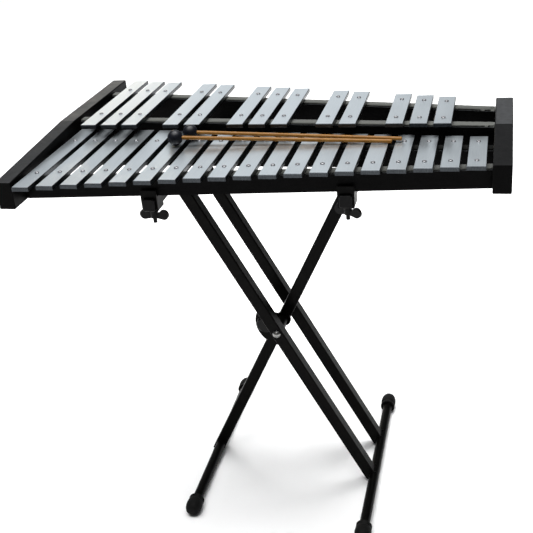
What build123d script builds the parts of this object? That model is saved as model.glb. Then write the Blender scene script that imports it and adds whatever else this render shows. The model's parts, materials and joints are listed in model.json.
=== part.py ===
from build123d import *
import math
import os

# Metal-bar keyboard percussion (a bell kit) on a folding X stand, with its two mallets.
# Millimetres, +Z up. The origin is on the floor below the middle of the length and depth.
# X runs along the keyboard from the long low bars to the short high ones.
# Y runs from the player's side to the back.

# ---------------------------------------------------------------- driving dimensions
# Tone bars. Along the keyboard, s is -1 at the first natural, 0 at the middle one and 1 at the last.
# A line of ends or nodes is (Y at the middle, slope, curvature): Y = middle + slope*s + curvature*s*s.
BAR_WIDTH = 25.4
BAR_THICKNESS = 6.0
BAR_BEVEL = 0.6
BAR_PITCH = 34.2
BAR_HOLE_DIAMETER = 4.6
NATURAL_COUNT = 19
MIDDLE_NATURAL = 10
MIDDLE_NATURAL_X = -1.2
NATURAL_TOP_Z = 611.0
ACCIDENTAL_TOP_Z = 630.0
ACCIDENTAL_GROUPS = [[1, 2, 3], [5, 6], [8, 9, 10], [12, 13], [15, 16, 17]]
NATURAL_FRONT = (-186.0, 42.4, -4.2)
NATURAL_BACK = (-8.8, -22.6, -0.7)
ACCIDENTAL_FRONT = (-26.5, -3.2, -0.6)
ACCIDENTAL_BACK = (157.4, -69.4, -4.9)
NATURAL_HOLE_INSET = (38.4, -17.0, 0.0)
ACCIDENTAL_HOLE_INSET = (39.0, -18.0, 0.0)

# Wooden frame: four rails between two end boards.
BOARD_INNER_X = 327.5
BOARD_THICKNESS = 25.0
BOARD_ROUNDING = 1.5
FRAME_BOTTOM_Z = 574.0
BOARD_FRONT_TOP_Z = 614.0
BOARD_BACK_TOP_Z = 628.0
LEFT_BOARD_Y = (-224.0, 4.0, 232.5)
RIGHT_BOARD_Y = (-152.0, -29.0, 92.0)
RAIL_THICKNESS = 18.0
NATURAL_FRONT_RAIL = (-150.0, 24.0)
NATURAL_BACK_RAIL = (-47.4, -5.6)
ACCIDENTAL_FRONT_RAIL = (12.2, -21.2)
ACCIDENTAL_BACK_RAIL = (116.8, -51.4)

# Felt and fasteners that carry the bars.
FELT_STRIP_WIDTH = 15.0
FELT_STRIP_THICKNESS = 3.0
WASHER_DIAMETER = 9.5
WASHER_THICKNESS = 2.0
BAR_SCREW_DIAMETER = 3.0
BAR_SCREW_LENGTH = 26.0
BAR_SCREW_HEAD_DIAMETER = 6.4
BAR_SCREW_HEAD_HEIGHT = 1.7
FRAME_SCREW_DIAMETER = 4.0
FRAME_SCREW_LENGTH = 38.0
FRAME_SCREW_HEAD_DIAMETER = 8.0
FRAME_SCREW_HEAD_HEIGHT = 2.2
FRAME_SCREW_EDGE = 7.0
SCREW_CLEARANCE = 0.05

# Folding stand.
STAND_X = -5.25
ARM_HALF_SPAN = 139.0
OUTER_FOOT_X = 143.4
INNER_FOOT_X = -146.3
LEG_TUBE = 19.5
ARM_TUBE = 18.0
TUBE_WALL = 1.5
TUBE_CORNER = 2.2
FOOT_TUBE_DIAMETER = 16.5
ARM_CENTRE_Z = 563.0
PIVOT_Z = 290.5
FOOT_CENTRE_Z = 13.2
LEG_END_Z = 4.8
OUTER_FRONT_LEG_Y = -61.0
OUTER_BACK_LEG_Y = 37.0
INNER_LEG_Y = -10.0
FOOT_HALF_SPAN = 177.5
OUTER_FOOT_MIDDLE_Y = -31.0
INNER_FOOT_MIDDLE_Y = -6.5
FOOT_CAP_DIAMETER = 27.0
FOOT_CAP_LENGTH = 32.0
FOOT_CAP_END = 6.0
FOOT_CAP_CROWN = 3.0
FOOT_CAP_LIP = 2.0
ARM_LENGTH = 336.0
ARM_NOSE = 2.5
PLUG_HEAD = 3.0
PLUG_BEVEL = 0.8
PLUG_INSERT = 12.0
PLUG_CLEARANCE = 0.05
PAD_LENGTH = 30.0
PAD_WALL = 1.9

# Pivot bolt and the friction lock beside it.
PIVOT_DIAMETER = 8.0
PIVOT_CLEARANCE = 0.05
PIVOT_HEAD_DIAMETER = 13.0
PIVOT_HEAD_HEIGHT = 4.6
PIVOT_NUT_ACROSS_FLATS = 13.0
PIVOT_NUT_HEIGHT = 6.5
PIVOT_THREAD_END = 2.0
SPACER_DIAMETER = 16.0
PIVOT_WASHER = 1.2
PIVOT_WASHER_DIAMETER = 13.0
SIDE_GAP = 0.3
LOCK_PLATE_RADIUS = 44.5
LOCK_PLATE_THICKNESS = 3.0
LOCK_PLATE_FRONT_Y = -35.0
LOCK_FLANGE_HALF_LENGTH = 34.0
LOCK_FLANGE_SIDE = -3.0
LOCK_SLOT_RADIUS = 25.0
LOCK_SLOT_WIDTH = 8.8
LOCK_SLOT_ANGLES = (168.0, 226.0)
LOCK_STUD_ANGLE = 173.0
LOCK_STUD_DIAMETER = 8.0
LOCK_STUD_TIP_Y = -48.0
LOCK_LINK_THICKNESS = 3.0
LOCK_LINK_HUB_RADIUS = 13.0
LOCK_LINK_WIDTH = 18.0
LOCK_LINK_TAIL = 34.0
KNOB_DIAMETER = 29.0
KNOB_GRIP_LENGTH = 11.2
KNOB_NECK_DIAMETER = 16.0
KNOB_NECK_LENGTH = 4.0
KNOB_ROUNDING = 3.0
KNOB_FLUTES = 12
KNOB_FLUTE_DIAMETER = 4.0
KNOB_FLUTE_CENTRE = 15.7
KNOB_BORE_END = 0.5

# Sliding clamps on the arms' front ends, with their wing screws.
CLAMP_WIDTH = 24.0
CLAMP_LENGTH = 24.0
CLAMP_CLEARANCE = 0.15
CLAMP_TOP_GAP = 0.2
CLAMP_FLOOR = 2.5
CLAMP_ROUNDING = 3.0
CLAMP_BOSS_DROP = 4.0
CLAMP_BOSS_TOP_DIAMETER = 20.0
CLAMP_BOSS_DIAMETER = 13.0
CLAMP_LIP_HEIGHT = 10.0
CLAMP_LIP_THICKNESS = 2.5
CLAMP_LIP_GAP = 2.5
WING_SHANK_DIAMETER = 6.0
WING_HUB_DIAMETER = 11.0
WING_HUB_HEIGHT = 9.0
WING_LOBE_RADIUS = 7.5
WING_LOBE_OFFSET = 15.0
WING_LOBE_DROP = 4.5
WING_THICKNESS = 4.0
WING_WAIST = 4.5
WING_TAIL = 8.0
WING_TIP_GAP = 0.1
WING_TURNS = (-5.0, -28.0)

# Mallets, lying across the naturals: head centre, then the far end of the shaft.
MALLET_HEAD_DIAMETER = 23.0
MALLET_SHAFT_DIAMETER = 5.6
MALLET_BORE_BEYOND_CENTRE = 7.0
MALLET_REST_GAP = 0.3
MALLET_END_ROUNDING = 1.5
FRONT_MALLET = ((-134.6, -64.0), (187.3, -59.5))
BACK_MALLET = ((-118.5, -40.0), (200.8, -54.0))

OUT = "parts"


# ---------------------------------------------------------------- helpers
def save(name, shape):
    """Write one node."""
    shape.label = name
    export_step(shape, os.path.join(OUT, name + ".step"))


def group(solids):
    """Separate solids that share a node."""
    return Compound(children=list(solids))


def box_between(low, high):
    """A box from its lowest corner to its highest one."""
    size = [b - a for a, b in zip(low, high)]
    middle = [(a + b) / 2 for a, b in zip(low, high)]
    return Pos(*middle) * Box(*size)


def rod(start, end, diameter):
    """A round rod between two points."""
    start, end = Vector(*start), Vector(*end)
    direction = end - start
    plane = Plane(origin=start, z_dir=direction)
    return plane * Cylinder(diameter / 2, direction.length, align=(Align.CENTER, Align.CENTER, Align.MIN))


def along(s, line):
    """The height in Y of a line of ends, nodes or rail centres at s."""
    return sum(coefficient * s**power for power, coefficient in enumerate(line))


def key_x(position):
    """X of a bar: whole positions are naturals, and half ones the accidentals between them."""
    return MIDDLE_NATURAL_X + (position - MIDDLE_NATURAL) * BAR_PITCH


def key_s(x):
    """Place along the keyboard, from -1 at the first natural to 1 at the last."""
    return (x - MIDDLE_NATURAL_X) / ((NATURAL_COUNT - MIDDLE_NATURAL) * BAR_PITCH)


def dome_arc(radius, height, base=0.0):
    """A round crown's profile, from its rim up to the axis, or down to it for a negative height."""
    ball = (radius**2 + height**2) / (2 * abs(height))
    half_turn = math.asin(radius / ball) / 2
    rise = math.copysign(abs(height) - ball + ball * math.cos(half_turn), height)
    return ThreePointArc((radius, base), (ball * math.sin(half_turn), base + rise), (0, base + height))


def square_tube(width, length):
    """A square tube with rounded corners, lying along Z and centred."""
    outer = RectangleRounded(width, width, TUBE_CORNER)
    inner_width = width - 2 * TUBE_WALL
    inner = RectangleRounded(inner_width, inner_width, TUBE_CORNER - TUBE_WALL)
    return extrude(outer - inner, length / 2, both=True)


# ---------------------------------------------------------------- tone bars
def hole_places(position, front, back, inset):
    """The two suspension points of a bar, a fifth to a quarter of its length from each end."""
    x = key_x(position)
    s = key_s(x)
    step = along(s, inset)
    return [(x, along(s, front) + step), (x, along(s, back) - step)]


def tone_bar(position, front, back, inset, top_z):
    """One bevelled metal bar with its two suspension holes."""
    x = key_x(position)
    s = key_s(x)
    low = (x - BAR_WIDTH / 2, along(s, front), top_z - BAR_THICKNESS)
    high = (x + BAR_WIDTH / 2, along(s, back), top_z)
    bar = box_between(low, high)
    bar = chamfer(bar.faces().sort_by(Axis.Z)[-1].edges(), BAR_BEVEL)
    for hole_x, hole_y in hole_places(position, front, back, inset):
        bar -= Pos(hole_x, hole_y, top_z - BAR_THICKNESS / 2) * Cylinder(
            BAR_HOLE_DIAMETER / 2, 2 * BAR_THICKNESS
        )
    return bar


NATURALS = list(range(1, NATURAL_COUNT + 1))
ACCIDENTALS = [gap + 0.5 for gaps in ACCIDENTAL_GROUPS for gap in gaps]


def natural_holes(position):
    return hole_places(position, NATURAL_FRONT, NATURAL_BACK, NATURAL_HOLE_INSET)


def accidental_holes(position):
    return hole_places(position, ACCIDENTAL_FRONT, ACCIDENTAL_BACK, ACCIDENTAL_HOLE_INSET)


def make_bars():
    for number in NATURALS:
        bar = tone_bar(number, NATURAL_FRONT, NATURAL_BACK, NATURAL_HOLE_INSET, NATURAL_TOP_Z)
        save(f"natural_bar_{number:02d}", bar)
    for index, gaps in enumerate(ACCIDENTAL_GROUPS, start=1):
        bars = [
            tone_bar(gap + 0.5, ACCIDENTAL_FRONT, ACCIDENTAL_BACK, ACCIDENTAL_HOLE_INSET, ACCIDENTAL_TOP_Z)
            for gap in gaps
        ]
        save(f"accidental_bars_{index}", group(bars))


# ---------------------------------------------------------------- wooden frame
def board_profile(y_places, z_low, z_front, z_back):
    """Side view of an end board: its top slopes down from the middle to the front."""
    front, middle, back = y_places
    outline = Polyline(
        (front, z_low), (back, z_low), (back, z_back), (middle, z_back), (front, z_front), close=True
    )
    return make_face(outline)


def end_board(side, y_places, rails):
    """One end board, drilled for the countersunk frame screws."""
    profile = board_profile(y_places, FRAME_BOTTOM_Z, BOARD_FRONT_TOP_Z, BOARD_BACK_TOP_Z)
    start = BOARD_INNER_X if side > 0 else -BOARD_INNER_X - BOARD_THICKNESS
    board = extrude(Plane.YZ.offset(start) * profile, BOARD_THICKNESS)
    long_edges = board.edges().filter_by(Axis.X, reverse=True)
    board = fillet(long_edges, BOARD_ROUNDING)
    for rail in rails:
        for place in frame_screw_places(side, rail):
            board -= frame_screw(side, place, SCREW_CLEARANCE)
    return board


def rail_ends(line):
    """Y of a rail's centre line at its left and right ends."""
    return [along(key_s(side * BOARD_INNER_X), line) for side in (-1, 1)]


def strip_between_boards(line, width, z_low, z_high):
    """A straight strip from board to board, centred on a rail's line."""
    left, right = rail_ends(line)
    half = width / 2 / math.cos(math.atan((right - left) / (2 * BOARD_INNER_X)))
    corners = [
        (-BOARD_INNER_X, left - half),
        (BOARD_INNER_X, right - half),
        (BOARD_INNER_X, right + half),
        (-BOARD_INNER_X, left + half),
    ]
    return extrude(Plane.XY.offset(z_low) * make_face(Polyline(*corners, close=True)), z_high - z_low)


def frame_screw(side, place, clearance=0.0):
    """A countersunk screw through an end board into a rail, or the hole it needs."""
    y, z = place
    shank = FRAME_SCREW_DIAMETER / 2 + clearance
    head = FRAME_SCREW_HEAD_DIAMETER / 2 + clearance
    profile = Polyline(
        (0, 0), (head, 0), (shank, -FRAME_SCREW_HEAD_HEIGHT), (shank, -FRAME_SCREW_LENGTH - clearance),
        (0, -FRAME_SCREW_LENGTH - clearance), close=True
    )
    screw = revolve(Plane.XZ * make_face(profile), Axis.Z)
    outer_x = side * (BOARD_INNER_X + BOARD_THICKNESS)
    return Pos(outer_x, y, z) * Rot(0, side * 90, 0) * screw


def frame_screw_places(side, rail):
    """Where a rail's two screws enter its end board."""
    line, top_z = rail
    y = along(key_s(side * BOARD_INNER_X), line)
    return [(y, FRAME_BOTTOM_Z + FRAME_SCREW_EDGE), (y, top_z - FRAME_SCREW_EDGE)]


def bar_screw(place, top_z):
    """Round-head screw that holds a bar, seated on the bar's top."""
    x, y = place
    shank = BAR_SCREW_DIAMETER / 2
    head = BAR_SCREW_HEAD_DIAMETER / 2
    dome = dome_arc(head, BAR_SCREW_HEAD_HEIGHT)
    stem = Polyline(
        (0, BAR_SCREW_HEAD_HEIGHT), (0, -BAR_SCREW_LENGTH), (shank, -BAR_SCREW_LENGTH), (shank, 0), (head, 0)
    )
    return Pos(x, y, top_z) * revolve(Plane.XZ * make_face([dome, stem]), Axis.Z)


def rail_set():
    """Each rail's name, line, top of its wood, and the suspension points above it."""
    natural_top = NATURAL_TOP_Z - BAR_THICKNESS - WASHER_THICKNESS - FELT_STRIP_THICKNESS
    accidental_top = ACCIDENTAL_TOP_Z - BAR_THICKNESS - WASHER_THICKNESS - FELT_STRIP_THICKNESS
    natural_front, natural_back = zip(*(natural_holes(n) for n in NATURALS))
    accidental_front, accidental_back = zip(*(accidental_holes(n) for n in ACCIDENTALS))
    return [
        ("natural_front", NATURAL_FRONT_RAIL, natural_top, natural_front),
        ("natural_back", NATURAL_BACK_RAIL, natural_top, natural_back),
        ("accidental_front", ACCIDENTAL_FRONT_RAIL, accidental_top, accidental_front),
        ("accidental_back", ACCIDENTAL_BACK_RAIL, accidental_top, accidental_back),
    ]


def make_frame():
    rails = rail_set()
    joints = [(line, top_z) for _, line, top_z, _ in rails]
    save("left_end_board", end_board(-1, LEFT_BOARD_Y, joints))
    save("right_end_board", end_board(1, RIGHT_BOARD_Y, joints))
    bar_screws, washers = [], []
    felts = {"natural": [], "accidental": []}
    for name, line, top_z, places in rails:
        felt_top = top_z + FELT_STRIP_THICKNESS
        bar_top = felt_top + WASHER_THICKNESS + BAR_THICKNESS
        rail = strip_between_boards(line, RAIL_THICKNESS, FRAME_BOTTOM_Z, top_z)
        felt = strip_between_boards(line, FELT_STRIP_WIDTH, top_z, felt_top)
        for x, y in places:
            depth = BAR_SCREW_LENGTH + SCREW_CLEARANCE
            hole = Cylinder(
                BAR_SCREW_DIAMETER / 2 + SCREW_CLEARANCE, depth, align=(Align.CENTER, Align.CENTER, Align.MAX)
            )
            rail -= Pos(x, y, bar_top) * hole
            felt -= Pos(x, y, bar_top) * hole
            washer = Cylinder(WASHER_DIAMETER / 2, WASHER_THICKNESS) - Cylinder(
                BAR_SCREW_DIAMETER / 2 + SCREW_CLEARANCE, 2 * WASHER_THICKNESS
            )
            washers.append(Pos(x, y, felt_top + WASHER_THICKNESS / 2) * washer)
            bar_screws.append(bar_screw((x, y), bar_top))
        for side in (-1, 1):
            for place in frame_screw_places(side, (line, top_z)):
                rail -= frame_screw(side, place, SCREW_CLEARANCE)
        save(name + "_rail", rail)
        felts[name.split("_")[0]].append(felt)
    for family, strips in felts.items():
        save(family + "_felt_strips", group(strips))
    save("bar_screws", group(bar_screws))
    save("bar_washers", group(washers))
    save("frame_screws", group(
        frame_screw(side, place)
        for side in (-1, 1)
        for rail in joints
        for place in frame_screw_places(side, rail)
    ))


# ---------------------------------------------------------------- folding stand
LEG_LEAN = math.degrees(math.atan2(ARM_HALF_SPAN, ARM_CENTRE_Z - PIVOT_Z))
LEFT_X = STAND_X - ARM_HALF_SPAN
RIGHT_X = STAND_X + ARM_HALF_SPAN


def pivot_rod(diameter, y_low, y_high):
    """A round rod on the pivot axis."""
    return rod((STAND_X, y_low, PIVOT_Z), (STAND_X, y_high, PIVOT_Z), diameter)


def arm_envelope(x):
    """The outside of a top arm, used to cope the legs that meet it."""
    profile = RectangleRounded(ARM_TUBE, ARM_TUBE, TUBE_CORNER)
    return extrude(Plane.XZ * Pos(x, ARM_CENTRE_Z) * profile, ARM_LENGTH / 2, both=True)


def leg_tube(lean, y):
    """A leg: its top is coped round the arm, and its foot end fits over the foot bar."""
    top_x, foot_x = (LEFT_X, OUTER_FOOT_X) if lean < 0 else (RIGHT_X, INNER_FOOT_X)
    slant = math.cos(math.radians(LEG_LEAN))
    above = (ARM_CENTRE_Z - PIVOT_Z) / slant
    below = PIVOT_Z / slant
    tube = Pos(0, 0, (above - below) / 2) * square_tube(LEG_TUBE, above + below)
    tube = Pos(STAND_X, y, PIVOT_Z) * Rot(0, lean, 0) * tube
    tube -= arm_envelope(top_x)
    low_y, high_y = y - LEG_TUBE, y + LEG_TUBE
    left_x, right_x = foot_x - 2 * LEG_TUBE, foot_x + 2 * LEG_TUBE
    tube -= rod((foot_x, low_y, FOOT_CENTRE_Z), (foot_x, high_y, FOOT_CENTRE_Z), FOOT_TUBE_DIAMETER)
    tube -= box_between((left_x, low_y, -LEG_TUBE), (right_x, high_y, LEG_END_Z))
    if lean < 0:
        tube -= box_between((foot_x, low_y, LEG_END_Z), (right_x, high_y, FOOT_CENTRE_Z))
    return tube - pivot_rod(PIVOT_DIAMETER + 2 * PIVOT_CLEARANCE, low_y, high_y)


def top_arm(x, front_y):
    """A square arm under the keyboard, running from front to back."""
    middle_y = front_y + ARM_LENGTH / 2
    return Pos(x, middle_y, ARM_CENTRE_Z) * Rot(90, 0, 0) * square_tube(ARM_TUBE, ARM_LENGTH)


def arm_plugs(x, front_y):
    """The two plastic plugs that close an arm."""
    plugs = []
    for end_y, outward in ((front_y, -1), (front_y + ARM_LENGTH, 1)):
        head = extrude(RectangleRounded(ARM_TUBE, ARM_TUBE, TUBE_CORNER), PLUG_HEAD)
        head = chamfer(head.faces().sort_by(Axis.Z)[-1].edges(), PLUG_BEVEL)
        insert_width = ARM_TUBE - 2 * (TUBE_WALL + PLUG_CLEARANCE)
        insert = extrude(RectangleRounded(insert_width, insert_width, TUBE_CORNER - TUBE_WALL), -PLUG_INSERT)
        plug = head + insert
        plugs.append(Pos(x, end_y, ARM_CENTRE_Z) * Rot(-90 * outward, 0, 0) * plug)
    return group(plugs)


def arm_pad(x, middle_y):
    """A rubber sleeve on an arm, under the back rail."""
    width = ARM_TUBE + 2 * PAD_WALL
    sleeve = RectangleRounded(width, width, TUBE_CORNER + PAD_WALL) - RectangleRounded(
        ARM_TUBE, ARM_TUBE, TUBE_CORNER
    )
    return Pos(x, middle_y, ARM_CENTRE_Z) * Rot(90, 0, 0) * extrude(sleeve, PAD_LENGTH / 2, both=True)


def foot_bar_half_length():
    return FOOT_HALF_SPAN + FOOT_CAP_LENGTH / 2 - FOOT_CAP_END


def foot_bar(x, middle_y):
    """The round floor bar, a tube that runs from front to back."""
    half = foot_bar_half_length()
    start, end = (x, middle_y - half, FOOT_CENTRE_Z), (x, middle_y + half, FOOT_CENTRE_Z)
    return rod(start, end, FOOT_TUBE_DIAMETER) - rod(start, end, FOOT_TUBE_DIAMETER - 2 * TUBE_WALL)


def foot_caps(x, middle_y):
    """Bulbous rubber caps on a foot bar's ends, each with a small flat where it meets the floor."""
    radius = FOOT_CAP_DIAMETER / 2
    mouth = radius - FOOT_CAP_LIP
    bore = FOOT_TUBE_DIAMETER / 2
    rim = Polyline((0, FOOT_CAP_END), (bore, FOOT_CAP_END), (bore, FOOT_CAP_LENGTH), (mouth, FOOT_CAP_LENGTH))
    bulge_middle = (FOOT_CAP_LENGTH + FOOT_CAP_CROWN) / 2
    bulge = ThreePointArc((mouth, FOOT_CAP_LENGTH), (radius, bulge_middle), (mouth, FOOT_CAP_CROWN))
    crown = dome_arc(mouth, -FOOT_CAP_CROWN, FOOT_CAP_CROWN)
    back = Line((0, 0), (0, FOOT_CAP_END))
    cap = revolve(Plane.XZ * make_face([rim, bulge, crown, back]), Axis.Z)
    caps = []
    for outward in (-1, 1):
        end_y = middle_y + outward * (foot_bar_half_length() + FOOT_CAP_END)
        placed = Pos(x, end_y, FOOT_CENTRE_Z) * Rot(90 * outward, 0, 0) * cap
        reach = 2 * FOOT_CAP_LENGTH
        below_floor = box_between((x - reach, end_y - reach, -reach), (x + reach, end_y + reach, 0))
        caps.append(placed - below_floor)
    return group(caps)


def pivot_bolt_set():
    """The pivot bolt with its washers, nut and the spacers that keep the legs apart."""
    half = LEG_TUBE / 2
    front_face = OUTER_FRONT_LEG_Y - half
    back_face = OUTER_BACK_LEG_Y + half
    head_seat = front_face - PIVOT_WASHER
    nut_seat = back_face + PIVOT_WASHER
    radius = PIVOT_HEAD_DIAMETER / 2
    dome = dome_arc(radius, PIVOT_HEAD_HEIGHT)
    seat = Polyline((0, PIVOT_HEAD_HEIGHT), (0, 0), (radius, 0))
    crown = revolve(Plane.XZ * make_face([dome, seat]), Axis.Z)
    crown = Pos(STAND_X, head_seat, PIVOT_Z) * Rot(90, 0, 0) * crown
    bolt = crown + pivot_rod(PIVOT_DIAMETER, head_seat, nut_seat + PIVOT_NUT_HEIGHT + PIVOT_THREAD_END)
    nut = extrude(RegularPolygon(PIVOT_NUT_ACROSS_FLATS / 2, 6, major_radius=False), PIVOT_NUT_HEIGHT)
    nut = Pos(STAND_X, nut_seat, PIVOT_Z) * Rot(-90, 0, 0) * nut
    link_front = INNER_LEG_Y - half - LOCK_LINK_THICKNESS
    stretches = [
        (head_seat, front_face, PIVOT_WASHER_DIAMETER),
        (OUTER_FRONT_LEG_Y + half, link_front - SIDE_GAP, SPACER_DIAMETER),
        (INNER_LEG_Y + half + SIDE_GAP, OUTER_BACK_LEG_Y - half, SPACER_DIAMETER),
        (back_face, nut_seat, PIVOT_WASHER_DIAMETER),
    ]
    bore = pivot_rod(PIVOT_DIAMETER + 2 * PIVOT_CLEARANCE, -ARM_LENGTH, ARM_LENGTH)
    rings = [pivot_rod(diameter, low, high) - bore for low, high, diameter in stretches]
    return group([bolt, nut - bore, *rings])


def lock_place(angle, radius=LOCK_SLOT_RADIUS):
    """X and Z of a point on the lock's slot, by its angle seen from the front."""
    turn = math.radians(angle)
    return STAND_X + radius * math.cos(turn), PIVOT_Z + radius * math.sin(turn)


def pivot_plane(y):
    """A plane across the pivot, X to the right and Z up, that extrudes towards the player."""
    return Plane(origin=(STAND_X, y, PIVOT_Z), x_dir=(1, 0, 0), z_dir=(0, -1, 0))


def slot_cutter():
    """A curved slot about the pivot, cut through the lock plate."""
    half = LOCK_SLOT_WIDTH / 2
    start, end = LOCK_SLOT_ANGLES
    sketch = Circle(LOCK_SLOT_RADIUS + half) - Circle(LOCK_SLOT_RADIUS - half)
    reach = 2 * LOCK_PLATE_RADIUS
    edge_angles = [start, (start + end) / 2, end]
    points = [(reach * math.cos(math.radians(a)), reach * math.sin(math.radians(a))) for a in edge_angles]
    sketch &= make_face(Polyline((0, 0), *points, close=True))
    for angle in LOCK_SLOT_ANGLES:
        turn = math.radians(angle)
        sketch += Pos(LOCK_SLOT_RADIUS * math.cos(turn), LOCK_SLOT_RADIUS * math.sin(turn)) * Circle(half)
    return sketch


def lock_plate():
    """Half-round slotted plate on a flange that is welded to the back of the front leg."""
    back_y = LOCK_PLATE_FRONT_Y + LOCK_PLATE_THICKNESS
    left_half = Rot(0, 0, LEG_LEAN) * Pos(LOCK_FLANGE_SIDE - LOCK_PLATE_RADIUS, 0) * Rectangle(
        2 * LOCK_PLATE_RADIUS, 3 * LOCK_PLATE_RADIUS
    )
    flange = Rot(0, 0, LEG_LEAN) * Pos(LOCK_FLANGE_SIDE - LOCK_PLATE_THICKNESS / 2, 0) * Rectangle(
        LOCK_PLATE_THICKNESS, 2 * LOCK_FLANGE_HALF_LENGTH
    )
    round_spacer = Circle(SPACER_DIAMETER / 2 + PIVOT_CLEARANCE)
    face = (Circle(LOCK_PLATE_RADIUS) & left_half) - slot_cutter() - round_spacer
    flange -= round_spacer
    at_back = pivot_plane(back_y)
    depth = back_y - (OUTER_FRONT_LEG_Y + LEG_TUBE / 2)
    return extrude(at_back * face, LOCK_PLATE_THICKNESS) + extrude(at_back * flange, depth)


def lock_link():
    """A link welded to the inner leg, with the threaded stud that passes through the slot."""
    stud_x, stud_z = lock_place(LOCK_STUD_ANGLE)
    back_y = INNER_LEG_Y - LEG_TUBE / 2
    outline = Circle(LOCK_LINK_HUB_RADIUS)
    for angle, reach in ((LOCK_STUD_ANGLE, LOCK_SLOT_RADIUS), (270 - LEG_LEAN, LOCK_LINK_TAIL)):
        finger = Pos(reach / 2, 0) * SlotCenterToCenter(reach, LOCK_LINK_WIDTH)
        outline += Rot(0, 0, angle) * finger
    outline -= Circle(PIVOT_DIAMETER / 2 + PIVOT_CLEARANCE)
    at_back = pivot_plane(back_y)
    link = extrude(at_back * outline, LOCK_LINK_THICKNESS)
    return link + rod((stud_x, back_y - 1, stud_z), (stud_x, LOCK_STUD_TIP_Y, stud_z), LOCK_STUD_DIAMETER)


def lock_knob():
    """A fluted plastic knob on the stud."""
    stud_x, stud_z = lock_place(LOCK_STUD_ANGLE)
    seat_y = LOCK_PLATE_FRONT_Y - SIDE_GAP
    neck = Cylinder(KNOB_NECK_DIAMETER / 2, KNOB_NECK_LENGTH, align=(Align.CENTER, Align.CENTER, Align.MIN))
    grip = Pos(0, 0, KNOB_NECK_LENGTH) * Cylinder(
        KNOB_DIAMETER / 2, KNOB_GRIP_LENGTH, align=(Align.CENTER, Align.CENTER, Align.MIN)
    )
    grip = fillet(grip.edges(), KNOB_ROUNDING)
    knob = neck + grip
    for index in range(KNOB_FLUTES):
        flute = Pos(KNOB_FLUTE_CENTRE, 0, 0) * Cylinder(KNOB_FLUTE_DIAMETER / 2, 4 * KNOB_GRIP_LENGTH)
        knob -= Rot(0, 0, index * 360 / KNOB_FLUTES) * flute
    bore_depth = seat_y - LOCK_STUD_TIP_Y + KNOB_BORE_END
    knob -= Cylinder(
        LOCK_STUD_DIAMETER / 2 + PIVOT_CLEARANCE, bore_depth, align=(Align.CENTER, Align.CENTER, Align.MIN)
    )
    return Pos(stud_x, seat_y, stud_z) * Rot(90, 0, 0) * knob


def clamp_front(x):
    """Y of a clamp's front face: its lip stands just in front of the natural front rail."""
    nearest_x = x - CLAMP_WIDTH / 2
    left, right = rail_ends(NATURAL_FRONT_RAIL)
    slope = (right - left) / (2 * BOARD_INNER_X)
    rail_front = along(key_s(nearest_x), NATURAL_FRONT_RAIL) - RAIL_THICKNESS / 2 / math.cos(math.atan(slope))
    return rail_front - CLAMP_LIP_GAP - CLAMP_LIP_THICKNESS


def clamp(x):
    """A sleeve on the arm, with a lip that keeps the keyboard from sliding forward."""
    front = clamp_front(x)
    half = CLAMP_WIDTH / 2
    top = FRAME_BOTTOM_Z - CLAMP_TOP_GAP
    arm_bottom = ARM_CENTRE_Z - ARM_TUBE / 2
    floor = arm_bottom - CLAMP_CLEARANCE - CLAMP_FLOOR
    body = box_between((x - half, front, floor), (x + half, front + CLAMP_LENGTH, top))
    lower_edges = body.edges().filter_by(Axis.Y).group_by(Axis.Z)[0]
    body = fillet(lower_edges, CLAMP_ROUNDING)
    lip_back = front + CLAMP_LIP_THICKNESS
    body += box_between((x - half, front, ARM_CENTRE_Z), (x + half, lip_back, top + CLAMP_LIP_HEIGHT))
    middle_y = front + CLAMP_LENGTH / 2
    boss = Pos(x, middle_y, floor) * Cone(
        CLAMP_BOSS_TOP_DIAMETER / 2, CLAMP_BOSS_DIAMETER / 2, CLAMP_BOSS_DROP,
        align=(Align.CENTER, Align.CENTER, Align.MIN),
    )
    boss = boss.rotate(Axis((x, middle_y, floor), (1, 0, 0)), 180)
    body += boss
    opening = ARM_TUBE + 2 * CLAMP_CLEARANCE
    tunnel = extrude(Plane.XZ * RectangleRounded(opening, opening, TUBE_CORNER), 2 * CLAMP_LENGTH, both=True)
    body -= Pos(x, middle_y, ARM_CENTRE_Z) * tunnel
    shank = WING_SHANK_DIAMETER + 2 * PIVOT_CLEARANCE
    return body - rod((x, middle_y, arm_bottom), (x, middle_y, floor - 2 * CLAMP_BOSS_DROP), shank)


def wing_screw(x, turn):
    """A screw with two round wings, pressing up on the arm through the clamp's boss."""
    middle_y = clamp_front(x) + CLAMP_LENGTH / 2
    arm_bottom = ARM_CENTRE_Z - ARM_TUBE / 2
    hub_top = arm_bottom - CLAMP_CLEARANCE - CLAMP_FLOOR - CLAMP_BOSS_DROP - SIDE_GAP
    hub_bottom = hub_top - WING_HUB_HEIGHT
    screw = rod((x, middle_y, hub_bottom), (x, middle_y, hub_top), WING_HUB_DIAMETER)
    tip, end = arm_bottom - WING_TIP_GAP, hub_bottom - WING_TAIL
    screw += rod((x, middle_y, tip), (x, middle_y, end), WING_SHANK_DIAMETER)
    outline = Rectangle(WING_HUB_DIAMETER, 2 * WING_WAIST)
    for lobe_x in (-WING_LOBE_OFFSET, WING_LOBE_OFFSET):
        outline += Pos(lobe_x, 0) * Circle(WING_LOBE_RADIUS)
        outline += make_face(Polyline(
            (0, WING_WAIST), (0, -WING_WAIST), (lobe_x, -WING_LOBE_RADIUS), (lobe_x, 0), close=True
        ))
    plate = extrude(Plane.XZ * outline, WING_THICKNESS / 2, both=True)
    return screw + Pos(x, middle_y, hub_top - WING_LOBE_DROP) * Rot(0, 0, turn) * plate


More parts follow.
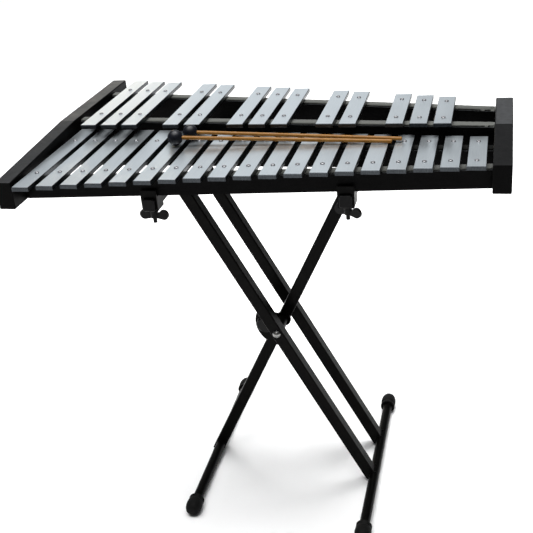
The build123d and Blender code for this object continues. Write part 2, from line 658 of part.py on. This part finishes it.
def make_stand():
    front_left, front_right = clamp_front(LEFT_X) - ARM_NOSE, clamp_front(RIGHT_X) - ARM_NOSE
    save("outer_front_leg", leg_tube(-LEG_LEAN, OUTER_FRONT_LEG_Y))
    save("outer_back_leg", leg_tube(-LEG_LEAN, OUTER_BACK_LEG_Y))
    save("inner_leg", leg_tube(LEG_LEAN, INNER_LEG_Y))
    for name, x, front, foot_x, foot_y in (
        ("outer", LEFT_X, front_left, OUTER_FOOT_X, OUTER_FOOT_MIDDLE_Y),
        ("inner", RIGHT_X, front_right, INNER_FOOT_X, INNER_FOOT_MIDDLE_Y),
    ):
        save(name + "_top_arm", top_arm(x, front))
        save(name + "_arm_plugs", arm_plugs(x, front))
        save(name + "_arm_pad", arm_pad(x, along(key_s(x), ACCIDENTAL_BACK_RAIL)))
        save(name + "_foot_bar", foot_bar(foot_x, foot_y))
        save(name + "_foot_caps", foot_caps(foot_x, foot_y))
    save("pivot_bolt_set", pivot_bolt_set())
    save("lock_plate", lock_plate())
    save("lock_link", lock_link())
    save("lock_knob", lock_knob())
    for name, x, turn in (("left", LEFT_X, WING_TURNS[0]), ("right", RIGHT_X, WING_TURNS[1])):
        save(name + "_clamp", clamp(x))
        save(name + "_wing_screw", wing_screw(x, turn))


# ---------------------------------------------------------------- mallets
def mallet_ball():
    """A ball with a blind bore that opens along Z."""
    radius = MALLET_HEAD_DIAMETER / 2
    bore = MALLET_SHAFT_DIAMETER / 2 + SCREW_CLEARANCE
    floor = -MALLET_BORE_BEYOND_CENTRE - SCREW_CLEARANCE
    mouth = (bore, math.sqrt(radius**2 - bore**2))
    outside = ThreePointArc((0, -radius), (radius, 0), mouth)
    inside = Polyline(mouth, (bore, floor), (0, floor), (0, -radius))
    return revolve(Plane.XZ * make_face([outside, inside]), Axis.Z)


def make_mallet(name, places, lift):
    """A mallet lying on the bars, its shaft's end lifted by what it rests on."""
    (head_x, head_y), (end_x, end_y) = places
    head = Vector(head_x, head_y, NATURAL_TOP_Z + MALLET_HEAD_DIAMETER / 2 + MALLET_REST_GAP)
    end = Vector(end_x, end_y, NATURAL_TOP_Z + MALLET_SHAFT_DIAMETER / 2 + MALLET_REST_GAP + lift)
    direction = (end - head).normalized()
    tip = head - direction * MALLET_BORE_BEYOND_CENTRE
    shaft = rod(tip, end, MALLET_SHAFT_DIAMETER)
    shaft = fillet(shaft.edges().filter_by(GeomType.CIRCLE).sort_by_distance(end)[0], MALLET_END_ROUNDING)
    save(name + "_shaft", shaft)
    save(name + "_head", Plane(origin=head, z_dir=direction) * mallet_ball())


def main():
    os.makedirs(OUT, exist_ok=True)
    make_bars()
    make_frame()
    make_stand()
    make_mallet("front_mallet", FRONT_MALLET, 0)
    make_mallet("back_mallet", BACK_MALLET, BAR_SCREW_HEAD_HEIGHT)


main()
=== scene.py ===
import json
import math
import random

import bmesh
import bpy
from mathutils import Matrix, Vector, noise

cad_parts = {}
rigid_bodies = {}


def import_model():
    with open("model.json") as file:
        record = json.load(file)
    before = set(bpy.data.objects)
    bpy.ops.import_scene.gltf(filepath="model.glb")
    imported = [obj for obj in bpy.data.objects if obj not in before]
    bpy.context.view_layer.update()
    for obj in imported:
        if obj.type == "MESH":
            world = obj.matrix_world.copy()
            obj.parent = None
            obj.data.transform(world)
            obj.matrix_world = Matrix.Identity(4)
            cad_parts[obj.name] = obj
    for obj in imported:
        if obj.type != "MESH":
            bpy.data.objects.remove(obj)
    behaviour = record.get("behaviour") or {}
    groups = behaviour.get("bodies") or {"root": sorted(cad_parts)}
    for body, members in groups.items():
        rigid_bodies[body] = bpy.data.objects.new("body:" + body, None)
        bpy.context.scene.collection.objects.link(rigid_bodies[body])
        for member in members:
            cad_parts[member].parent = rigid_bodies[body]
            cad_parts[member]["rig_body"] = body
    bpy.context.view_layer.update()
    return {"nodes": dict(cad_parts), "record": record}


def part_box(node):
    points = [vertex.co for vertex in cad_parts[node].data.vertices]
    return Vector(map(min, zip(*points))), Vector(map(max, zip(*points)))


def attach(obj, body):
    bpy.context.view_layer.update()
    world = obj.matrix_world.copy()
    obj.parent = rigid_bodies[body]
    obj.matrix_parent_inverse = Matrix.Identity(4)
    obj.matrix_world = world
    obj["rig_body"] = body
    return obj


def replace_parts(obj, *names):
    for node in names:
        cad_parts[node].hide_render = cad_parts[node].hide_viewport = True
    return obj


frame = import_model()
SCENE = bpy.context.scene
NODES = frame["nodes"]
DICE = random.Random(7)

# ---------------------------------------------------------------- camera
AIM = Vector((-0.0158, -0.060, 0.392))
AZIMUTH, ELEVATION, ROLL = 15.9, 27.46, -5.63
DISTANCE = 1.4427
LENS, SENSOR_WIDTH, SHIFT_UP = 61.65, 36, 0.0168


def add_camera():
    a, e = math.radians(AZIMUTH), math.radians(ELEVATION)
    back = Vector((math.sin(a) * math.cos(e), -math.cos(a) * math.cos(e), math.sin(e)))
    data = bpy.data.cameras.new("camera")
    data.lens, data.sensor_width, data.shift_y = LENS, SENSOR_WIDTH, SHIFT_UP
    data.clip_end = 50
    camera = bpy.data.objects.new("camera", data)
    camera.location = AIM + back * DISTANCE
    turn = back.to_track_quat("Z", "Y").to_matrix() @ Matrix.Rotation(math.radians(ROLL), 3, "Z")
    camera.rotation_euler = turn.to_euler()
    SCENE.collection.objects.link(camera)
    SCENE.camera = camera


# ---------------------------------------------------------------- light and floor
# The world's strength away from its glow and at the glow's middle, and where the glow is.
DIM_ROOM, BRIGHT_ROOM = 0.10, 0.88
BRIGHT_SIDE = (-0.29, 0.94, 0.17)
# How closely a direction agrees with BRIGHT_SIDE at the glow's rim, and where the glow is full.
GLOW_RIM, GLOW_FULL = 0.915, 0.99


def add_light(name, place, target, size, power, colour=(1, 1, 1)):
    data = bpy.data.lights.new(name, "AREA")
    data.shape, data.size, data.size_y = "RECTANGLE", size[0], size[1]
    data.energy, data.color = power, colour
    light = bpy.data.objects.new(name, data)
    light.location = place
    towards = Vector(target) - Vector(place)
    light.rotation_euler = towards.to_track_quat("-Z", "Y").to_euler()
    SCENE.collection.objects.link(light)


def add_studio():
    """A dim world that glows behind the object, a low warm window, and two panels overhead."""
    world = bpy.data.worlds.new("studio")
    world.use_nodes = True
    nodes, links = world.node_tree.nodes, world.node_tree.links
    sky = nodes["Background"]
    sky.inputs["Color"].default_value = (0.93, 0.97, 1, 1)
    towards = nodes.new("ShaderNodeVectorMath")
    towards.operation = "DOT_PRODUCT"
    towards.inputs[1].default_value = BRIGHT_SIDE
    glow = nodes.new("ShaderNodeMapRange")
    glow.interpolation_type = "SMOOTHSTEP"
    glow.inputs["From Min"].default_value, glow.inputs["From Max"].default_value = GLOW_RIM, GLOW_FULL
    glow.inputs["To Min"].default_value, glow.inputs["To Max"].default_value = DIM_ROOM, BRIGHT_ROOM
    links.new(nodes.new("ShaderNodeTexCoord").outputs["Generated"], towards.inputs[0])
    links.new(towards.outputs["Value"], glow.inputs["Value"])
    links.new(glow.outputs["Result"], sky.inputs["Strength"])
    SCENE.world = world
    add_light("window", (-2.6, 4.9, 1.2), (-0.34, 0.15, 0.6), (1.0, 0.35), 9, (1, 0.84, 0.62))
    add_light("overhead", (-0.3, -0.2, 4.2), (0, 0, 0.3), (3.5, 3.5), 300)
    add_light("backdrop", (0.4, 2.6, 7.5), (0.4, 2.4, 0), (6, 3.5), 560)
    SCENE.view_settings.view_transform = "Standard"


def add_floor():
    mesh = bpy.data.meshes.new("floor")
    form = bmesh.new()
    bmesh.ops.create_grid(form, x_segments=8, y_segments=8, size=12)
    form.to_mesh(mesh)
    form.free()
    floor = bpy.data.objects.new("floor", mesh)
    SCENE.collection.objects.link(floor)
    paper = bpy.data.materials.new("paper")
    paper.use_nodes = True
    shader = paper.node_tree.nodes["Principled BSDF"]
    shader.inputs["Base Color"].default_value = (0.93, 0.93, 0.93, 1)
    shader.inputs["Roughness"].default_value = 0.9
    mesh.materials.append(paper)


# ---------------------------------------------------------------- finishes
class Finish:
    """A material, with the few node patterns that all of the finishes are made from."""

    def __init__(self, name, roughness, **sockets):
        self.material = bpy.data.materials.new(name)
        self.material.use_nodes = True
        self.nodes, self.links = self.material.node_tree.nodes, self.material.node_tree.links
        self.shader = self.nodes["Principled BSDF"]
        self.place = self.nodes.new("ShaderNodeTexCoord").outputs["Object"]
        for socket, value in {"Roughness": roughness, **sockets}.items():
            self.shader.inputs[socket.replace("_", " ")].default_value = value

    def noise(self, grain, stretch=(1, 1, 1), detail=3):
        """Noise with specks about a grain long, drawn out along the axes by stretch."""
        spread = self.nodes.new("ShaderNodeMapping")
        spread.inputs["Scale"].default_value = [1 / (grain * s) for s in stretch]
        self.links.new(self.place, spread.inputs["Vector"])
        texture = self.nodes.new("ShaderNodeTexNoise")
        texture.inputs["Scale"].default_value = 1
        texture.inputs["Detail"].default_value = detail
        self.links.new(spread.outputs["Vector"], texture.inputs["Vector"])
        return texture.outputs["Fac"]

    def ramp(self, factor, *stops):
        """A ramp through (place, colour) stops."""
        node = self.nodes.new("ShaderNodeValToRGB")
        band = node.color_ramp.elements
        while len(band) < len(stops):
            band.new(0.5)
        for element, (place, colour) in zip(band, stops):
            element.position, element.color = place, (*colour, 1)
        self.links.new(factor, node.inputs["Fac"])
        return node.outputs["Color"]

    def blend(self, factor, under, over):
        """One colour over another where the factor is high."""
        node = self.nodes.new("ShaderNodeMix")
        node.data_type = "RGBA"
        self.links.new(factor, node.inputs[0])
        for socket, colour in ((node.inputs[6], under), (node.inputs[7], over)):
            if isinstance(colour, tuple):
                socket.default_value = (*colour, 1)
            else:
                self.links.new(colour, socket)
        return node.outputs[2]

    def vary(self, socket, factor, low, high):
        """Lets a value run between low and high with a noise."""
        node = self.nodes.new("ShaderNodeMapRange")
        node.inputs["From Min"].default_value, node.inputs["From Max"].default_value = 0.3, 0.7
        node.inputs["To Min"].default_value, node.inputs["To Max"].default_value = low, high
        self.links.new(factor, node.inputs["Value"])
        self.links.new(node.outputs["Result"], self.shader.inputs[socket])

    def facing_up(self, *tilts):
        """An amount for each tilt, given as (height of the normal, amount) pairs."""
        parts = self.nodes.new("ShaderNodeSeparateXYZ")
        self.links.new(self.nodes.new("ShaderNodeNewGeometry").outputs["Normal"], parts.inputs["Vector"])
        return self.ramp(parts.outputs["Z"], *((tilt, (amount,) * 3) for tilt, amount in tilts))

    def paint(self, colour):
        self.links.new(colour, self.shader.inputs["Base Color"])

    def relief(self, height, depth):
        """Raises the surface by a noise, in metres."""
        node = self.nodes.new("ShaderNodeBump")
        node.inputs["Distance"].default_value = depth
        self.links.new(height, node.inputs["Height"])
        self.links.new(node.outputs["Normal"], self.shader.inputs["Normal"])


def brushed_bar():
    """Light metal, ground along each bar and lacquered; its sides and ends are given a near-black colour,
    painted shade.
    """
    finish = Finish("bar_metal", 0.3, Metallic=1.0)
    grinding = finish.noise(0.0006, (1, 60, 1), 4)
    cloud = finish.noise(0.03, (1, 2, 1))
    light = finish.ramp(grinding, (0.3, BAR_SHADE), (0.7, BAR_LIGHT))
    hazy = finish.blend(finish.ramp(cloud, (0.45, (0, 0, 0)), (0.85, (0.5, 0.5, 0.5))), light, BAR_SHADE)
    # Painted shade: every face that doesn't look up, the sides and ends, gets a near-black colour in place
    # of the light metal.
    side_shade_noise = finish.noise(0.0008, (1, 1, 4), 5)
    painted_shade_sides = finish.ramp(side_shade_noise, (0.3, (0.03, 0.033, 0.036)), (0.7, (0.055, 0.06, 0.066)))
    finish.paint(finish.blend(finish.facing_up((0.8, 0), (0.95, 1)), painted_shade_sides, hazy))
    finish.vary("Roughness", cloud, 0.28, 0.33)
    finish.relief(grinding, 0.00002)
    return finish


def painted_wood(name, stretch):
    """Thin satin black paint over the grain, with rubbed specks, and a lighter colour on faces that look up:
    dust, and a painted highlight on the tops.
    """
    finish = Finish(name, 0.4, Specular_IOR_Level=0.035)
    grain = finish.noise(0.0016, stretch, 5)
    rubbed = finish.ramp(finish.noise(0.004, (1, 1, 1), 6), (0.70, (0, 0, 0)), (0.80, (0.6, 0.6, 0.6)))
    paint = finish.ramp(grain, (0.3, (0.0007, 0.0007, 0.0008)), (0.7, (0.0017, 0.0016, 0.0016)))
    worn = finish.blend(rubbed, paint, (0.008, 0.0075, 0.007))
    # Dust and painted highlight: faces that look up are made lighter, flat tops most, standing in for the
    # light falling on them.
    top_mottle = finish.noise(0.006, (1, 1, 1), 5)
    dust = finish.ramp(top_mottle, (0.2, (0.022, 0.0225, 0.023)), (0.8, (0.036, 0.037, 0.039)))
    top_dust_and_highlight_mask = finish.facing_up((0.7, 0), (0.95, 0.12), (0.9984, 0.16), (0.9996, 1))
    finish.paint(finish.blend(top_dust_and_highlight_mask, worn, dust))
    finish.vary("Roughness", finish.noise(0.02), 0.34, 0.48)
    finish.relief(grain, 0.00012)
    return finish


def pressed_felt(name, shade):
    """Pressed wool: tangled fibres, mottled grey with a green cast."""
    finish = Finish(name, 0.95, Sheen_Weight=2 * shade, Sheen_Roughness=0.5, Specular_IOR_Level=0.05)
    fibre = finish.noise(0.0005, (1, 1, 1), 8)
    mottle = finish.noise(0.004, (2, 1, 1))
    dark, light, dull = (tuple(shade * part * c for c in (1, 1.03, 0.95)) for part in (0.65, 1.35, 0.9))
    finish.paint(finish.blend(mottle, finish.ramp(fibre, (0.3, dark), (0.7, light)), dull))
    finish.relief(fibre, 0.0004)
    return finish


def black_oxide():
    """Oiled black oxide on small screws, with a bare glint here and there."""
    finish = Finish("black_screw", 0.35, Metallic=0.85)
    worn = finish.ramp(finish.noise(0.0009, (1, 1, 1), 5), (0.60, (0, 0, 0)), (0.72, (0.5, 0.5, 0.5)))
    oxide = finish.ramp(finish.noise(0.0004), (0.3, (0.10, 0.10, 0.105)), (0.7, (0.18, 0.18, 0.188)))
    finish.paint(finish.blend(worn, oxide, (0.32, 0.315, 0.31)))
    finish.vary("Roughness", finish.noise(0.001), 0.28, 0.45)
    finish.relief(finish.noise(0.0002), 0.00002)
    return finish


def powder_coat():
    """Satin black powder coat: fine orange peel, slightly warm, with dusty patches."""
    finish = Finish("black_steel", 0.36, Specular_IOR_Level=0.045)
    dust = finish.ramp(finish.noise(0.012, (1, 1, 1), 5), (0.5, (0, 0, 0)), (0.9, (0.35, 0.35, 0.35)))
    flecks = finish.noise(0.0012)
    coat = finish.ramp(flecks, (0.3, (0.0006, 0.00055, 0.0005)), (0.7, (0.0015, 0.0014, 0.0012)))
    finish.paint(finish.blend(dust, coat, (0.009, 0.0078, 0.007)))
    finish.vary("Roughness", finish.noise(0.008, (1, 1, 1), 4), 0.3, 0.42)
    finish.relief(finish.noise(0.0011, (1, 1, 1), 2), 0.00005)
    return finish


def moulded(name, roughness, shade, speckle, depth, tint=(1, 1, 1), **sockets):
    """Moulded black rubber or plastic: a grained skin with lighter scuffs."""
    finish = Finish(name, roughness, **sockets)
    dark, light, scuffed = (tuple(shade * part * c for c in tint) for part in (0.7, 1.3, 3.0))
    skin = finish.noise(speckle, (1, 1, 1), 4)
    scuffs = finish.ramp(finish.noise(0.003, (1, 3, 1), 6), (0.62, (0, 0, 0)), (0.8, (0.5, 0.5, 0.5)))
    finish.paint(finish.blend(scuffs, finish.ramp(skin, (0.3, dark), (0.7, light)), scuffed))
    finish.vary("Roughness", finish.noise(0.004), 0.85 * roughness, 1.15 * roughness)
    finish.relief(skin, depth)
    return finish


def bright_zinc():
    """Bright zinc plate with its faint blue and straw bloom."""
    finish = Finish("zinc", 0.28, Metallic=1.0)
    bloom = finish.noise(0.004)
    finish.paint(finish.ramp(bloom, (0.3, (0.18, 0.19, 0.20)), (0.7, (0.28, 0.27, 0.25))))
    finish.vary("Roughness", finish.noise(0.0015, (1, 1, 1), 5), 0.2, 0.38)
    finish.relief(finish.noise(0.0008), 0.00002)
    return finish


def lacquered_birch():
    """Clear-lacquered light wood with its grain along the shaft."""
    finish = Finish("mallet_wood", 0.42, Specular_IOR_Level=0.12, Coat_Weight=0.03, Coat_Roughness=0.25)
    grain = finish.noise(0.0006, (45, 1, 1), 5)
    pores = finish.ramp(finish.noise(0.0004, (14, 1, 1), 6), (0.60, (0, 0, 0)), (0.72, (0.7, 0.7, 0.7)))
    dark, middle, light = (0.12, 0.05, 0.008), (0.18, 0.08, 0.014), (0.24, 0.12, 0.024)
    wood = finish.ramp(grain, (0.3, dark), (0.5, middle), (0.72, light))
    finish.paint(finish.blend(pores, wood, (0.10, 0.042, 0.013)))
    finish.vary("Roughness", grain, 0.3, 0.45)
    finish.relief(grain, 0.00004)
    return finish


BAR_LIGHT, BAR_SHADE = (0.69, 0.74, 0.77), (0.62, 0.67, 0.705)
MALLET_TINT = (0.8, 0.95, 1.7)
FINISHES = {
    "bar_metal": brushed_bar(),
    "black_wood": painted_wood("black_wood", (1, 30, 1)),
    "felt": pressed_felt("felt", 0.07),
    "black_screw": black_oxide(),
    "black_steel": powder_coat(),
    "black_rubber": moulded("black_rubber", 0.62, 0.0045, 0.0008, 0.00008, Specular_IOR_Level=0.08),
    "black_plastic": moulded("black_plastic", 0.42, 0.0032, 0.0006, 0.00004, Specular_IOR_Level=0.08),
    "knob_plastic": moulded("knob_plastic", 0.16, 0.0006, 0.0015, 0.000008, Specular_IOR_Level=0.12),
    "zinc": bright_zinc(),
    "wing_steel": moulded("wing_steel", 0.34, 0.0024, 0.0009, 0.00006, Specular_IOR_Level=0.08),
    "mallet_wood": lacquered_birch(),
    "mallet_rubber": moulded(
        "mallet_rubber", 0.4, 0.0035, 0.0011, 0.00005, MALLET_TINT, Specular_IOR_Level=0.2
    ),
}
RAIL_WOOD = painted_wood("black_wood_rails", (30, 1, 1))
# The natural back strip's felt is made nearly black: painted shade for the deep shadow under the natural
# bars.
NATURAL_FELTS = pressed_felt("felt_front", 0.05), pressed_felt("felt_back_painted_shade", 0.004)


# ---------------------------------------------------------------- pieces
def piece(name, form, node, material_slot):
    """A finished piece that moves with a CAD node's body and takes its finish from a slot."""
    mesh = bpy.data.meshes.new(name)
    form.to_mesh(mesh)
    form.free()
    mesh.polygons.foreach_set("use_smooth", [True] * len(mesh.polygons))
    mesh.materials.append(FINISHES[material_slot].material)
    obj = bpy.data.objects.new(name, mesh)
    SCENE.collection.objects.link(obj)
    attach(obj, NODES[node]["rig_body"])
    return obj


def solids(form):
    """The separate solids in a form, each as a list of its corners."""
    left, found = set(form.verts), []
    while left:
        front = [left.pop()]
        solid = list(front)
        while front:
            near = {e.other_vert(v) for v in front for e in v.link_edges} & left
            left -= near
            front = list(near)
            solid += front
        found.append(solid)
    return found


def islands(node):
    """The boxes of the separate solids in a CAD node."""
    form = bmesh.new()
    form.from_mesh(NODES[node].data)
    bmesh.ops.remove_doubles(form, verts=form.verts, dist=1e-6)
    boxes = []
    for solid in solids(form):
        low = Vector(min(v.co[i] for v in solid) for i in range(3))
        high = Vector(max(v.co[i] for v in solid) for i in range(3))
        boxes.append((low, high))
    form.free()
    return boxes


def smooth_step(low, high, value):
    """Runs from 0 at low to 1 at high, level at both ends."""
    t = min(max((value - low) / (high - low), 0), 1)
    return t * t * (3 - 2 * t)


# The pivot bolt's bright dome ends this far in front of the front leg's face.
DOME_GAP = 0.0013


def blacken_spacers():
    """Leaves the pivot bolt's dome bright, and gives the rest of the set the legs' black."""
    mesh = NODES["pivot_bolt_set"].data
    mesh.materials.append(FINISHES["black_steel"].material)
    front_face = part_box("outer_front_leg")[0].y
    for face in mesh.polygons:
        if face.center.y > front_face - DOME_GAP:
            face.material_index = 1


# Screw heads with a pressed cross, as parts of the head's radius.
RECESS_WIDTH, RECESS_REACH, RECESS_DEPTH = 0.19, 0.58, 0.3
HEAD_RINGS, HEAD_SPOKES = 14, 40


def screw_head(form, rim, out, radius, crown, cone, stem):
    """A head with its rim's centre at rim: a low dome above it, and a cone and a stem below."""
    sideways = out.orthogonal().normalized()
    across = out.cross(sideways)
    depth = RECESS_DEPTH * radius
    profile = [(radius * ring / HEAD_RINGS, None) for ring in range(1, HEAD_RINGS + 1)]
    profile += [(radius, 0), (stem, -cone), (stem, -cone - radius)]
    centre = form.verts.new(rim + out * (crown - depth))
    last = None
    for reach, level in profile:
        loop = []
        for spoke in range(HEAD_SPOKES):
            turn = 2 * math.pi * spoke / HEAD_SPOKES
            x, y = reach * math.cos(turn), reach * math.sin(turn)
            z = level
            if level is None:
                dome = 0.25 + 0.75 * math.sqrt(max(1 - (reach / radius) ** 2, 0))
                off_axis, along_axis = sorted((abs(x) / radius, abs(y) / radius))
                pressed = 1 - smooth_step(0.6 * RECESS_WIDTH, RECESS_WIDTH, off_axis)
                pressed *= 1 - smooth_step(0.8 * RECESS_REACH, RECESS_REACH, along_axis)
                z = crown * dome - depth * pressed
            loop.append(form.verts.new(rim + sideways * x + across * y + out * z))
        for i in range(HEAD_SPOKES):
            j = (i + 1) % HEAD_SPOKES
            if last:
                form.faces.new((last[i], loop[i], loop[j], last[j]))
            else:
                form.faces.new((centre, loop[i], loop[j]))
        last = loop
    form.faces.new(last)


def add_bar_screws():
    """Round heads standing on the bars."""
    form = bmesh.new()
    for low, high in islands("bar_screws"):
        middle, radius = (low + high) / 2, (high.x - low.x) / 2
        crown = 0.53 * radius
        rim = Vector((middle.x, middle.y, high.z - crown))
        screw_head(form, rim, Vector((0, 0, 1)), radius, crown, 0, 0.45 * radius)
    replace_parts(piece("bar_screw_heads", form, "bar_screws", "black_screw"), "bar_screws")


def add_frame_screws():
    """Countersunk heads, just below the faces of the end boards."""
    form = bmesh.new()
    for low, high in islands("frame_screws"):
        middle, radius = (low + high) / 2, (high.z - low.z) / 2
        side = 1 if middle.x > 0 else -1
        outer_x = high.x if side > 0 else low.x
        rim = Vector((outer_x - side * 0.12 * radius, middle.y, middle.z))
        screw_head(form, rim, Vector((side, 0, 0)), 0.97 * radius, 0.1 * radius, 0.5 * radius, 0.47 * radius)
    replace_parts(piece("frame_screw_heads", form, "frame_screws", "black_screw"), "frame_screws")


# Felt strips. Each node holds two.
FELT_SLICE = 0.003
FELT_WANDER = 0.00025
FIBRES_PER_METRE = 500
FIBRE_LENGTHS = 0.0004, 0.0012
FIBRE_HALF_WIDTH, FIBRE_BEND = Vector((0.00004, 0, 0.00003)), Vector((0, 0, 0.0001))
# Repeats of the wander in a metre. The trim keeps the strips inside their CAD solids.
COARSE_WANDER, FINE_WANDER, WANDER_TRIM = 400, 1500, 0.7
STRIPS_PER_NODE = 2


def add_felt(node, strip_felts=()):
    """The strips cut from felt: their edges wander and shed short fibres.

    strip_felts gives the front strip and the back strip finishes of their own.
    """
    form = bmesh.new()
    form.from_mesh(NODES[node].data)
    bmesh.ops.remove_doubles(form, verts=form.verts, dist=1e-6)
    bmesh.ops.dissolve_limit(form, angle_limit=0.02, verts=form.verts, edges=form.edges)
    if strip_felts:
        strips = sorted(solids(form), key=lambda strip: sum(v.co.y for v in strip) / len(strip))
        for index, strip in enumerate(strips):
            for face in {face for v in strip for face in v.link_faces}:
                face.material_index = index
    low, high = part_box(node)
    slices = int((high.x - low.x) / FELT_SLICE)
    for i in range(1, slices):
        cut = Vector((low.x + (high.x - low.x) * i / slices, 0, 0))
        parts = form.verts[:] + form.edges[:] + form.faces[:]
        bmesh.ops.bisect_plane(form, geom=parts, plane_co=cut, plane_no=(1, 0, 0))
    bmesh.ops.triangulate(form, faces=form.faces)
    form.normal_update()
    edge_corners = [v for v in form.verts if abs(v.normal.y) > 0.5 and v.normal.z > 0.3]
    edges = [(v.co.copy(), v.link_faces[0].material_index) for v in edge_corners]
    for v in form.verts:
        wander = noise.noise(v.co * COARSE_WANDER) + 0.5 * noise.noise(v.co * FINE_WANDER)
        v.co += v.normal * FELT_WANDER * (wander - WANDER_TRIM)
    length = (high.x - low.x) * STRIPS_PER_NODE
    for _ in range(int(FIBRES_PER_METRE * length)):
        root, finish_index = DICE.choice(edges)
        root = root + Vector((DICE.uniform(-1, 1), 0, DICE.uniform(-0.6, 0))) * FELT_SLICE
        out = Vector((DICE.uniform(-1, 1), DICE.choice((-1, 1)), DICE.uniform(-0.4, 0.6))).normalized()
        tip = root + out * DICE.uniform(*FIBRE_LENGTHS)
        bend = (root + tip) / 2 + FIBRE_BEND
        half = FIBRE_HALF_WIDTH
        corners = [root - half, root + half, bend + half, tip, bend - half]
        form.faces.new([form.verts.new(c) for c in corners]).material_index = finish_index
    felt = piece(node + "_cut", form, node, "felt")
    if strip_felts:
        front_felt, back_felt = strip_felts
        felt.data.materials[0] = front_felt.material
        felt.data.materials.append(back_felt.material)
    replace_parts(felt, node)


# Weld beads. At a foot bar a bead starts so many degrees short of the bar's top, and turns so many round it.
BEAD_RADIUS = 0.0014
BEAD_RIPPLE = 0.0021
BEAD_SIDES = 10
BEAD_STEP = 0.0004
ARM_CLEARANCE = 0.0003
FOOT_ARC_START, FOOT_ARC_TURN, FOOT_ARC_STEPS = 82, 110, 60


def bead(form, route):
    """A weld: a rope along a route in a plane across Y, swollen at each ripple."""
    run, last = 0.0, None
    for i, place in enumerate(route):
        ahead = (route[min(i + 1, len(route) - 1)] - route[max(i - 1, 0)]).normalized()
        run += (place - route[max(i - 1, 0)]).length
        swell = 0.78 + 0.3 * abs(math.sin(math.pi * run / BEAD_RIPPLE)) + 0.12 * noise.noise(place * 900)
        ends = smooth_step(0, 3, min(i, len(route) - 1 - i) + 0.6)
        up = ahead.cross(Vector((0, 1, 0)))
        loop = []
        for side in range(BEAD_SIDES):
            turn = 2 * math.pi * side / BEAD_SIDES
            offset = Vector((0, math.cos(turn), 0)) + up * math.sin(turn)
            loop.append(form.verts.new(place + offset * BEAD_RADIUS * swell * ends))
        if last:
            for j in range(BEAD_SIDES):
                k = (j + 1) % BEAD_SIDES
                form.faces.new((last[j], loop[j], loop[k], last[k]))
        else:
            form.faces.new(loop[::-1])
        last = loop
    form.faces.new(last)


def straight(start, end):
    """Evenly spaced places from start to end."""
    count = int((end - start).length / BEAD_STEP)
    return [start.lerp(end, i / count) for i in range(count + 1)]


def add_welds(leg, arm, bar):
    """Beads where a leg meets the arm above it and the foot bar below it."""
    leg_low, leg_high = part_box(leg)
    arm_low, arm_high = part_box(arm)
    bar_low, bar_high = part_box(bar)
    centre_x, centre_z = (bar_low.x + bar_high.x) / 2, (bar_low.z + bar_high.z) / 2
    foot_radius = (bar_high.z - bar_low.z) / 2
    leans = 1 if centre_x < (arm_low.x + arm_high.x) / 2 else -1
    form = bmesh.new()
    for y in (leg_low.y, leg_high.y):
        under = arm_low.z - ARM_CLEARANCE
        bead(form, straight(Vector((arm_low.x, y, under)), Vector((arm_high.x, y, under))))
        arc = []
        for i in range(FOOT_ARC_STEPS + 1):
            turn = math.radians(90 + leans * (FOOT_ARC_TURN * i / FOOT_ARC_STEPS - FOOT_ARC_START))
            x = centre_x + foot_radius * math.cos(turn)
            arc.append(Vector((x, y, centre_z + foot_radius * math.sin(turn))))
        bead(form, arc)
    piece(leg + "_welds", form, leg, "black_steel")


# Rubber foot caps. Their profile goes from the closed end to the mouth, in (part of the radius, part of the
# length) pairs.
CAP_SPOKES = 64
CAP_RIDGES = 3
CAP_RIDGE_START, CAP_RIDGE_PITCH = 0.74, 0.05
BORE_EASE = 1.01


def add_foot_caps(node, bar):
    """Moulded caps: a swollen barrel with a lip, fine ridges, a domed end, and a worn flat below."""
    bar_low, bar_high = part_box(bar)
    bore = (bar_high.z - bar_low.z) / 2
    form = bmesh.new()
    for low, high in islands(node):
        radius, length = (high.x - low.x) / 2, high.y - low.y
        axis_x, axis_z = (low.x + high.x) / 2, high.z - radius
        outward = 1 if low.y > (bar_low.y + bar_high.y) / 2 else -1
        end_y = high.y if outward > 0 else low.y
        profile = [(0.0, 0.0), (0.35, 0.002), (0.62, 0.03), (0.78, 0.09), (0.87, 0.17), (0.94, 0.27)]
        profile += [(0.985, 0.38), (1.0, 0.5), (0.99, 0.6), (0.965, 0.7)]
        for ridge in range(CAP_RIDGES):
            start = CAP_RIDGE_START + CAP_RIDGE_PITCH * ridge
            profile += [(0.945, start), (0.915, start + 0.008), (0.915, start + 0.02), (0.94, start + 0.028)]
        profile += [(0.93, 0.9), (0.965, 0.915), (0.965, 0.975), (0.93, 0.995), (0.8, 1.0)]
        profile += [(bore / radius * BORE_EASE, 1.0), (bore / radius * BORE_EASE, 0.9)]
        last = None
        for out, along in profile:
            loop = []
            for spoke in range(CAP_SPOKES):
                turn = 2 * math.pi * spoke / CAP_SPOKES
                x = axis_x + radius * out * math.cos(turn)
                z = max(axis_z + radius * out * math.sin(turn), low.z)
                loop.append(form.verts.new((x, end_y - outward * length * along, z)))
            if last:
                for i in range(CAP_SPOKES):
                    j = (i + 1) % CAP_SPOKES
                    form.faces.new((last[i], loop[i], loop[j], last[j]))
            last = loop
    bmesh.ops.remove_doubles(form, verts=form.verts, dist=1e-6)
    bmesh.ops.recalc_face_normals(form, faces=form.faces)
    caps = piece(node + "_moulded", form, node, "black_rubber")
    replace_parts(caps, node)


# ---------------------------------------------------------------- scene
add_camera()
add_studio()
add_floor()

for part in frame["record"]["subparts"]:
    node = NODES[part["node"]]
    finish = RAIL_WOOD if part["node"].endswith("_rail") else FINISHES[part["material_slot"]]
    node.data.materials.clear()
    node.data.materials.append(finish.material)

blacken_spacers()
add_bar_screws()
add_frame_screws()
add_felt("natural_felt_strips", NATURAL_FELTS)
add_felt("accidental_felt_strips")
add_welds("outer_front_leg", "outer_top_arm", "outer_foot_bar")
add_welds("outer_back_leg", "outer_top_arm", "outer_foot_bar")
add_welds("inner_leg", "inner_top_arm", "inner_foot_bar")
add_foot_caps("outer_foot_caps", "outer_foot_bar")
add_foot_caps("inner_foot_caps", "inner_foot_bar")
